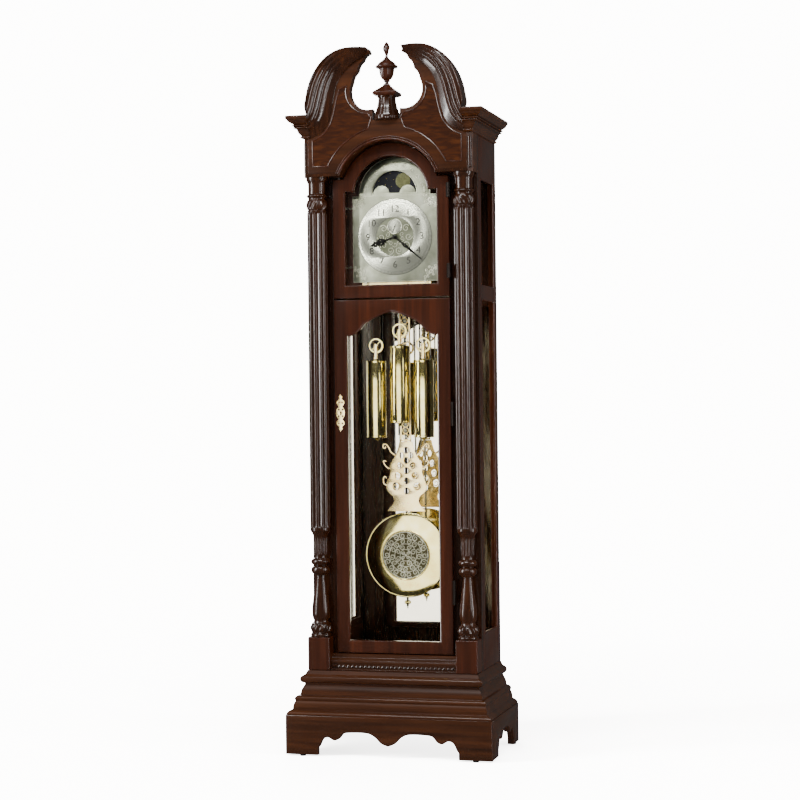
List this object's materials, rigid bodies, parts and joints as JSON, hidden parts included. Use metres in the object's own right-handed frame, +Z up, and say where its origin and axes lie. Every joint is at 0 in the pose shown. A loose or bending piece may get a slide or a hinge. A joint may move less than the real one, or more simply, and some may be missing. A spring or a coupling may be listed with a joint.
{
  "type": "grandfather clock",
  "caption": "Tall wooden longcase clock with a swan-neck hood, moon dial, glazed doors, fluted columns, brass weights and a lyre pendulum.",
  "frame": {"origin": "on the floor, under the middle of the clock", "axes": "+Z up, -Y the front that faces the viewer, +X to the right seen from the front"},
  "size_m": [0.648, 0.381, 2.183],
  "materials": {
    "mahogany": "gloss lacquer",
    "glass": "clear",
    "mirror": "silvered",
    "brass": "polished",
    "steel": "bright",
    "silvered": "satin silvered",
    "moon_paint": "satin",
    "black_steel": "satin black",
    "nylon": "matt"
  },
  "bodies": {
    "case": {"base_front": "mahogany", "base_side_left": "mahogany", "base_side_right": "mahogany", "plinth_moulding": "mahogany", "glide_front_left": "nylon", "glide_front_right": "nylon", "glide_rear_left": "nylon", "glide_rear_right": "nylon", "case_floor": "mahogany", "apron_rail": "mahogany", "side_frame_left": "mahogany", "side_frame_right": "mahogany", "side_glass_left": "glass", "side_glass_right": "glass", "front_stile_left": "mahogany", "front_stile_right": "mahogany", "column_block_left": "mahogany", "column_block_right": "mahogany", "column_left": "mahogany", "column_right": "mahogany", "back_panel": "mahogany", "back_mirror": "mirror", "seat_board": "mahogany", "hood_roof": "mahogany", "hood_frieze": "mahogany", "tympanum": "mahogany", "cornice_left": "mahogany", "cornice_right": "mahogany", "swan_neck_left": "mahogany", "swan_neck_right": "mahogany", "finial_plinth": "mahogany", "finial": "mahogany", "dial_plate": "silvered", "movement": "brass", "cable_left": "steel", "cable_centre": "steel", "cable_right": "steel"},
    "hood_door": {"hood_door_frame": "mahogany", "hood_door_glass": "glass", "hood_hinge_lower": "brass", "hood_hinge_upper": "brass"},
    "trunk_door": {"trunk_door_frame": "mahogany", "trunk_door_glass": "glass", "door_escutcheon": "brass", "trunk_hinge_lower": "brass", "trunk_hinge_upper": "brass"},
    "moon": {"moon_disc": "moon_paint"},
    "hour_hand": {"hour_hand": "black_steel"},
    "minute_hand": {"minute_hand": "black_steel"},
    "seconds_hand": {"seconds_hand": "black_steel"},
    "pendulum": {"pendulum_rod": "steel", "pendulum_lyre": "brass", "pendulum_bob": "brass"},
    "rating_nut": {"rating_nut": "brass"},
    "weight_left": {"weight_left": "brass"},
    "weight_centre": {"weight_centre": "brass"},
    "weight_right": {"weight_right": "brass"},
    "pulley_left": {"pulley_left": "brass"},
    "pulley_centre": {"pulley_centre": "brass"},
    "pulley_right": {"pulley_right": "brass"}
  },
  "joints": [
    {"name": "hood_door_hinge", "type": "hinge", "parent": "case", "child": "hood_door", "pos_m": [0.1925, -0.13, 1.6], "axis": [0, 0, 1], "range_deg": [0, 100]},
    {"name": "trunk_door_hinge", "type": "hinge", "parent": "case", "child": "trunk_door", "pos_m": [0.1925, -0.0985, 0.85], "axis": [0, 0, 1], "range_deg": [0, 100]},
    {"name": "moon_turn", "type": "hinge", "parent": "case", "child": "moon", "pos_m": [0, -0.042, 1.712], "axis": [0, 1, 0], "continuous": true},
    {"name": "minute_hand_turn", "type": "hinge", "parent": "case", "child": "minute_hand", "pos_m": [0, -0.05, 1.592], "axis": [0, 1, 0], "continuous": true},
    {"name": "hour_hand_turn", "type": "hinge", "parent": "case", "child": "hour_hand", "pos_m": [0, -0.05, 1.592], "axis": [0, 1, 0], "continuous": true},
    {"name": "seconds_hand_turn", "type": "hinge", "parent": "case", "child": "seconds_hand", "pos_m": [0, -0.047, 1.624], "axis": [0, 1, 0], "continuous": true},
    {"name": "pendulum_swing", "type": "hinge", "parent": "case", "child": "pendulum", "pos_m": [0, 0.0615, 1.593], "axis": [0, 1, 0], "range_deg": [-3, 3]},
    {"name": "rating_nut_turn", "type": "hinge", "parent": "pendulum", "child": "rating_nut", "pos_m": [0, 0.0615, 0.45], "axis": [0, 0, 1], "continuous": true},
    {"name": "weight_left_travel", "type": "slide", "parent": "case", "child": "weight_left", "axis": [0, 0, 1], "range_m": [-0.6, 0.085], "deforming": ["cable_left"]},
    {"name": "pulley_left_turn", "type": "hinge", "parent": "weight_left", "child": "pulley_left", "pos_m": [-0.0765, -0.0055, 1.257], "axis": [0, 1, 0], "range_deg": [-250, 1550]},
    {"name": "weight_centre_travel", "type": "slide", "parent": "case", "child": "weight_centre", "axis": [0, 0, 1], "range_m": [-0.6, 0.045], "deforming": ["cable_centre"]},
    {"name": "pulley_centre_turn", "type": "hinge", "parent": "weight_centre", "child": "pulley_centre", "pos_m": [0, -0.0055, 1.302], "axis": [0, 1, 0], "range_deg": [-250, 1550]},
    {"name": "weight_right_travel", "type": "slide", "parent": "case", "child": "weight_right", "axis": [0, 0, 1], "range_m": [-0.6, 0.085], "deforming": ["cable_right"]},
    {"name": "pulley_right_turn", "type": "hinge", "parent": "weight_right", "child": "pulley_right", "pos_m": [0.0765, -0.0055, 1.257], "axis": [0, 1, 0], "range_deg": [-250, 1550]}
  ],
  "couplings": [
    {"joint": "hour_hand_turn", "follows": "minute_hand_turn", "ratio": 0.083333},
    {"joint": "seconds_hand_turn", "follows": "minute_hand_turn", "ratio": 60},
    {"joint": "pulley_left_turn", "follows": "weight_left_travel", "rad_per_m": -44.444},
    {"joint": "pulley_centre_turn", "follows": "weight_centre_travel", "rad_per_m": -44.444},
    {"joint": "pulley_right_turn", "follows": "weight_right_travel", "rad_per_m": -44.444}
  ]
}
